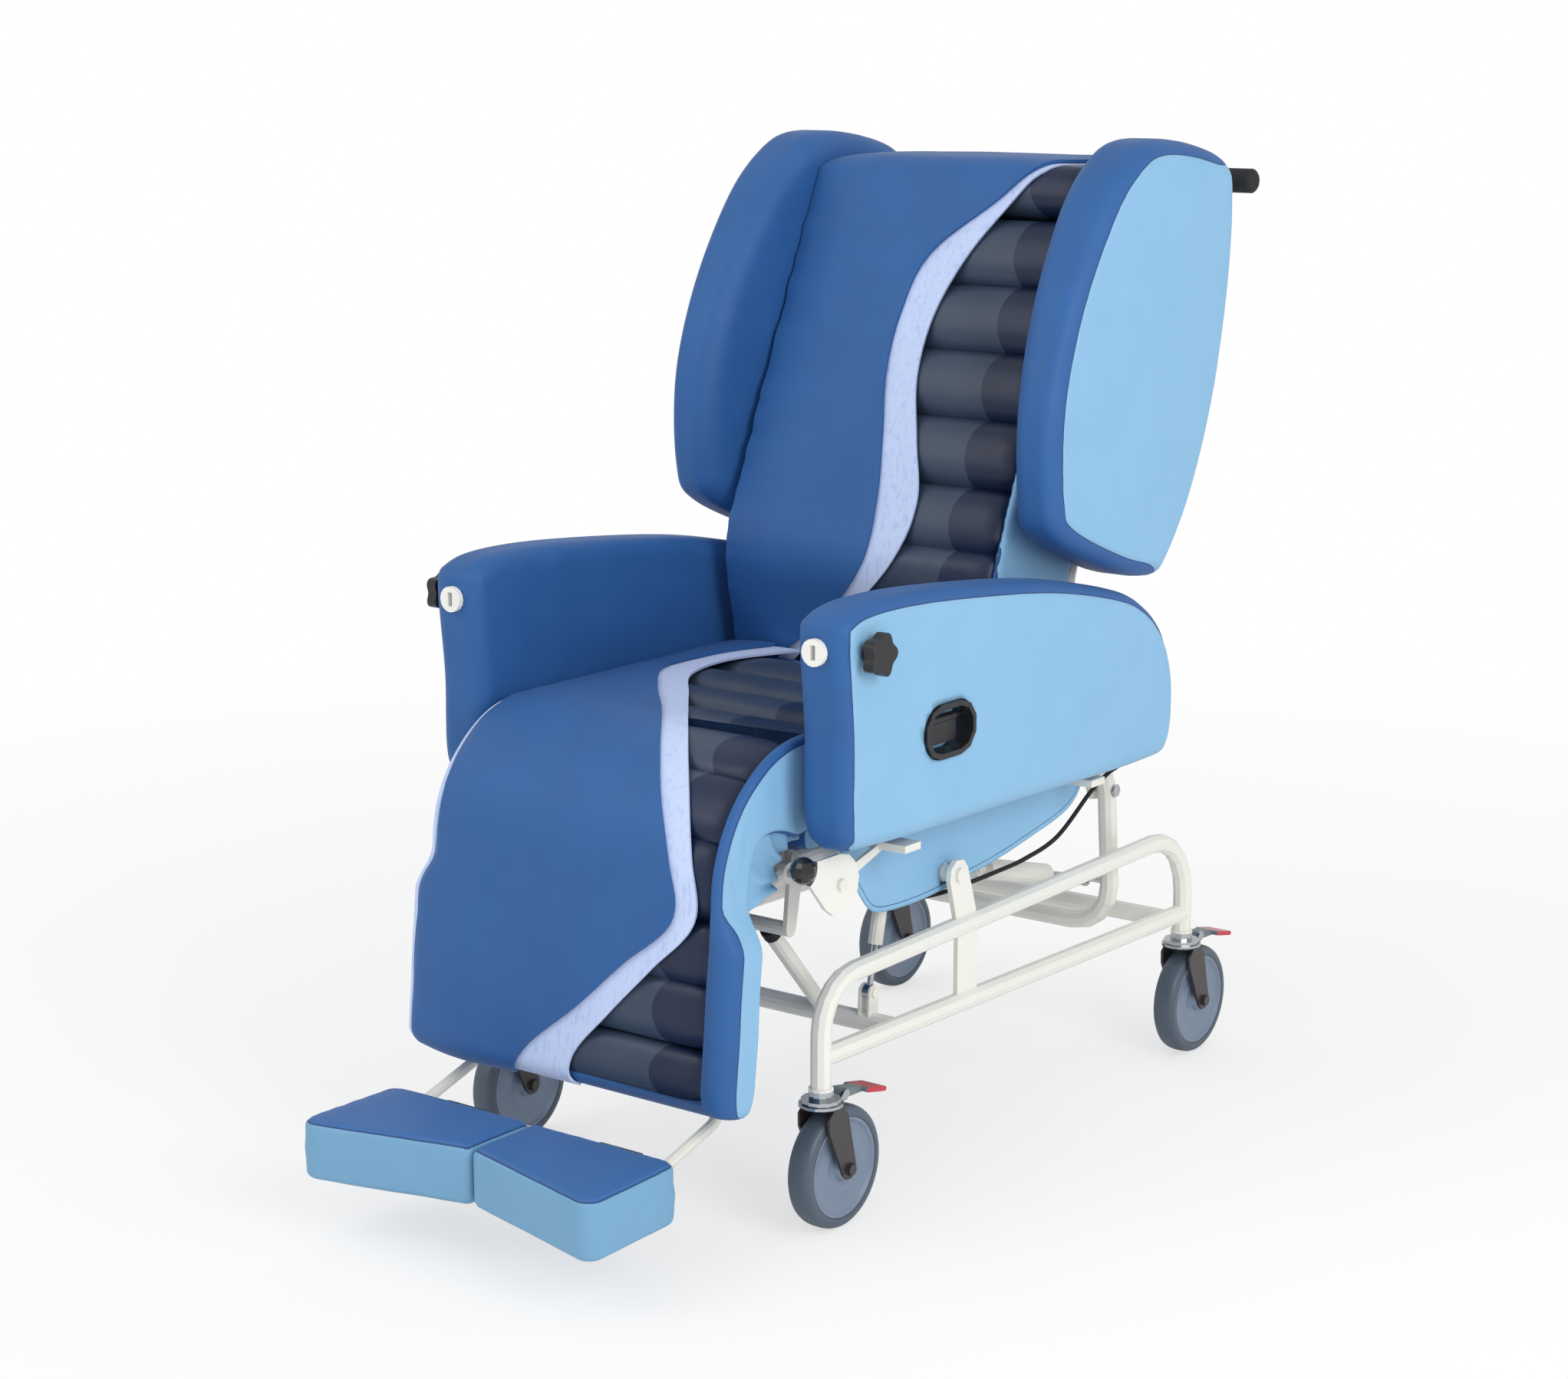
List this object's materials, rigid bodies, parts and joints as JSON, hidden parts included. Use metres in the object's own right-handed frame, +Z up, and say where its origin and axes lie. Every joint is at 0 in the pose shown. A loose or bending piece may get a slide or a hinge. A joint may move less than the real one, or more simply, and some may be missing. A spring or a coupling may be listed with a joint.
{
  "type": "care chair",
  "caption": "Tilting, reclining care chair on a braked castor base, with wing back, padded arms, lifting legrest and fold-up footrest, its padding cut away to show its layers.",
  "frame": {"origin": "centre of the chair's bounding box, on the floor", "axes": "+X to the sitter's left, +Y to the chair's rear, +Z up"},
  "size_m": [0.6826, 1.3163, 1.256],
  "materials": {
    "white_powder_coat": "satin powder coat, off-white",
    "dark_blue_vinyl": "soft coated upholstery cloth, dark blue",
    "light_blue_vinyl": "soft coated upholstery cloth, light blue",
    "pale_foam_layer": "thin pale blue padding layer",
    "air_cell_film": "slate film over air cells",
    "black_plastic": "moulded black plastic",
    "black_rubber": "black rubber",
    "zinc_plate": "bright zinc plating",
    "fork_lacquer": "dark brown-black lacquer",
    "grey_polyurethane": "grey-blue polyurethane tread on a disc wheel",
    "red_nylon": "red nylon pedal",
    "white_nylon": "white nylon"
  },
  "bodies": {
    "base": {"base_frame": "white_powder_coat", "seat_stop_buffer_left": "black_rubber", "seat_stop_buffer_right": "black_rubber"},
    "seat": {"arm_left": "dark_blue_vinyl", "arm_right": "dark_blue_vinyl", "backrest_pivot_bolt_left": "zinc_plate", "backrest_pivot_bolt_right": "zinc_plate", "knee_cells": "air_cell_film", "knee_cover": "dark_blue_vinyl", "knee_layer": "pale_foam_layer", "legrest_hinge_rod": "zinc_plate", "release_bezel": "black_plastic", "release_cable": "black_plastic", "seat_casing": "dark_blue_vinyl", "seat_cells": "air_cell_film", "seat_cover": "dark_blue_vinyl", "seat_frame": "white_powder_coat", "seat_layer": "pale_foam_layer", "seat_skirt_left": "light_blue_vinyl", "seat_skirt_right": "light_blue_vinyl", "tray_socket_left": "white_nylon", "tray_socket_right": "white_nylon"},
    "backrest": {"back_casing": "dark_blue_vinyl", "back_cells": "air_cell_film", "back_cover": "dark_blue_vinyl", "back_layer": "pale_foam_layer", "backrest_frame": "white_powder_coat", "push_grip_left": "black_plastic", "push_grip_right": "black_plastic", "wing_left": "dark_blue_vinyl", "wing_right": "dark_blue_vinyl"},
    "legrest": {"legrest_casing": "dark_blue_vinyl", "legrest_cells": "air_cell_film", "legrest_cover": "dark_blue_vinyl", "legrest_frame": "white_powder_coat", "legrest_layer": "pale_foam_layer"},
    "castor_front_left": {"castor_fork_front_left": "fork_lacquer"},
    "wheel_front_left": {"castor_wheel_front_left": "grey_polyurethane"},
    "pedal_front_left": {"castor_pedal_front_left": "red_nylon"},
    "castor_front_right": {"castor_fork_front_right": "fork_lacquer"},
    "wheel_front_right": {"castor_wheel_front_right": "grey_polyurethane"},
    "pedal_front_right": {"castor_pedal_front_right": "red_nylon"},
    "castor_rear_left": {"castor_fork_rear_left": "fork_lacquer"},
    "wheel_rear_left": {"castor_wheel_rear_left": "grey_polyurethane"},
    "pedal_rear_left": {"castor_pedal_rear_left": "red_nylon"},
    "castor_rear_right": {"castor_fork_rear_right": "fork_lacquer"},
    "wheel_rear_right": {"castor_wheel_rear_right": "grey_polyurethane"},
    "pedal_rear_right": {"castor_pedal_rear_right": "red_nylon"},
    "knob_right": {"socket_knob_right": "black_plastic"},
    "knob_left": {"socket_knob_left": "black_plastic"},
    "release_lever": {"release_lever": "black_plastic"},
    "legrest_lever": {"legrest_lever": "white_nylon"},
    "footrest_slide": {"footrest_tubes": "white_powder_coat"},
    "footrest": {"footrest_hinge": "black_plastic", "footrest_pad_left": "light_blue_vinyl", "footrest_pad_right": "light_blue_vinyl"},
    "tilt_spring_rod": {"tilt_spring_rod": "zinc_plate"},
    "tilt_spring_cylinder": {"tilt_spring_cylinder": "white_nylon"},
    "recline_spring_cylinder": {"recline_spring_cylinder": "white_nylon"},
    "recline_spring_rod": {"recline_spring_rod": "zinc_plate"}
  },
  "joints": [
    {"name": "castor_swivel_front_left", "type": "hinge", "parent": "base", "child": "castor_front_left", "pos_m": [0.25, -0.27985, 0], "axis": [0, 0, 1], "continuous": true},
    {"name": "castor_roll_front_left", "type": "hinge", "parent": "castor_front_left", "child": "wheel_front_left", "pos_m": [0.25, -0.25385, 0.075], "axis": [1, 0, 0], "continuous": true},
    {"name": "castor_brake_front_left", "type": "hinge", "parent": "castor_front_left", "child": "pedal_front_left", "pos_m": [0.25, -0.24585, 0.1635], "axis": [-1, 0, 0], "range_deg": [0, 12]},
    {"name": "castor_swivel_front_right", "type": "hinge", "parent": "base", "child": "castor_front_right", "pos_m": [-0.25, -0.27985, 0], "axis": [0, 0, 1], "continuous": true},
    {"name": "castor_roll_front_right", "type": "hinge", "parent": "castor_front_right", "child": "wheel_front_right", "pos_m": [-0.25, -0.25385, 0.075], "axis": [1, 0, 0], "continuous": true},
    {"name": "castor_brake_front_right", "type": "hinge", "parent": "castor_front_right", "child": "pedal_front_right", "pos_m": [-0.25, -0.24585, 0.1635], "axis": [-1, 0, 0], "range_deg": [0, 12]},
    {"name": "castor_swivel_rear_left", "type": "hinge", "parent": "base", "child": "castor_rear_left", "pos_m": [0.25, 0.55015, 0], "axis": [0, 0, 1], "continuous": true},
    {"name": "castor_roll_rear_left", "type": "hinge", "parent": "castor_rear_left", "child": "wheel_rear_left", "pos_m": [0.25, 0.57615, 0.075], "axis": [1, 0, 0], "continuous": true},
    {"name": "castor_brake_rear_left", "type": "hinge", "parent": "castor_rear_left", "child": "pedal_rear_left", "pos_m": [0.25, 0.58415, 0.1635], "axis": [-1, 0, 0], "range_deg": [0, 12]},
    {"name": "castor_swivel_rear_right", "type": "hinge", "parent": "base", "child": "castor_rear_right", "pos_m": [-0.25, 0.55015, 0], "axis": [0, 0, 1], "continuous": true},
    {"name": "castor_roll_rear_right", "type": "hinge", "parent": "castor_rear_right", "child": "wheel_rear_right", "pos_m": [-0.25, 0.57615, 0.075], "axis": [1, 0, 0], "continuous": true},
    {"name": "castor_brake_rear_right", "type": "hinge", "parent": "castor_rear_right", "child": "pedal_rear_right", "pos_m": [-0.25, 0.58415, 0.1635], "axis": [-1, 0, 0], "range_deg": [0, 12]},
    {"name": "seat_tilt", "type": "hinge", "parent": "base", "child": "seat", "pos_m": [0, -0.00085, 0.376], "axis": [-1, 0, 0], "range_deg": [0, 15]},
    {"name": "backrest_recline", "type": "hinge", "parent": "seat", "child": "backrest", "pos_m": [0, 0.40815, 0.399], "axis": [-1, 0, 0], "range_deg": [0, 30]},
    {"name": "legrest_raise", "type": "hinge", "parent": "seat", "child": "legrest", "pos_m": [0, -0.26985, 0.427], "axis": [-1, 0, 0], "range_deg": [0, 60], "deforming": ["knee_cells", "knee_layer", "knee_cover"]},
    {"name": "footrest_slide", "type": "slide", "parent": "legrest", "child": "footrest_slide", "axis": [0, -0.0958, -0.9954], "range_m": [0, 0.05]},
    {"name": "footrest_fold", "type": "hinge", "parent": "footrest_slide", "child": "footrest", "pos_m": [0, -0.49185, 0.128], "axis": [-1, 0, 0], "range_deg": [0, 88]},
    {"name": "socket_knob_turn_left", "type": "hinge", "parent": "seat", "child": "knob_left", "pos_m": [0.3183, -0.28485, 0.706], "axis": [1, 0, 0], "continuous": true},
    {"name": "socket_knob_turn_right", "type": "hinge", "parent": "seat", "child": "knob_right", "pos_m": [-0.3183, -0.28485, 0.706], "axis": [1, 0, 0], "continuous": true},
    {"name": "release_pull", "type": "hinge", "parent": "seat", "child": "release_lever", "pos_m": [0.306, -0.11985, 0.601], "axis": [0, -1, 0], "range_deg": [0, 25]},
    {"name": "legrest_release", "type": "hinge", "parent": "seat", "child": "legrest_lever", "pos_m": [0.262, -0.26285, 0.423], "axis": [1, 0, 0], "range_deg": [0, 30]},
    {"name": "tilt_spring_swing", "type": "hinge", "parent": "base", "child": "tilt_spring_rod", "pos_m": [0.208, -0.12685, 0.25], "axis": [-1, 0, 0], "range_deg": [0, 2]},
    {"name": "tilt_spring_stroke", "type": "slide", "parent": "tilt_spring_rod", "child": "tilt_spring_cylinder", "axis": [0, 0.2195, 0.9756], "range_m": [0, 0.025]},
    {"name": "recline_spring_swing", "type": "hinge", "parent": "seat", "child": "recline_spring_cylinder", "pos_m": [0.172, 0.15515, 0.338], "axis": [-1, 0, 0], "range_deg": [0, 2.5]},
    {"name": "recline_spring_stroke", "type": "slide", "parent": "recline_spring_cylinder", "child": "recline_spring_rod", "axis": [0, 0.9667, -0.2558], "range_m": [-0.068, 0]}
  ],
  "couplings": [
    {"joint": "tilt_spring_swing", "follows": "seat_tilt", "ratio": 0.12807},
    {"joint": "tilt_spring_stroke", "follows": "seat_tilt", "m_per_rad": 0.093376},
    {"joint": "recline_spring_swing", "follows": "backrest_recline", "ratio": 0.077316},
    {"joint": "recline_spring_stroke", "follows": "backrest_recline", "m_per_rad": -0.12885}
  ]
}
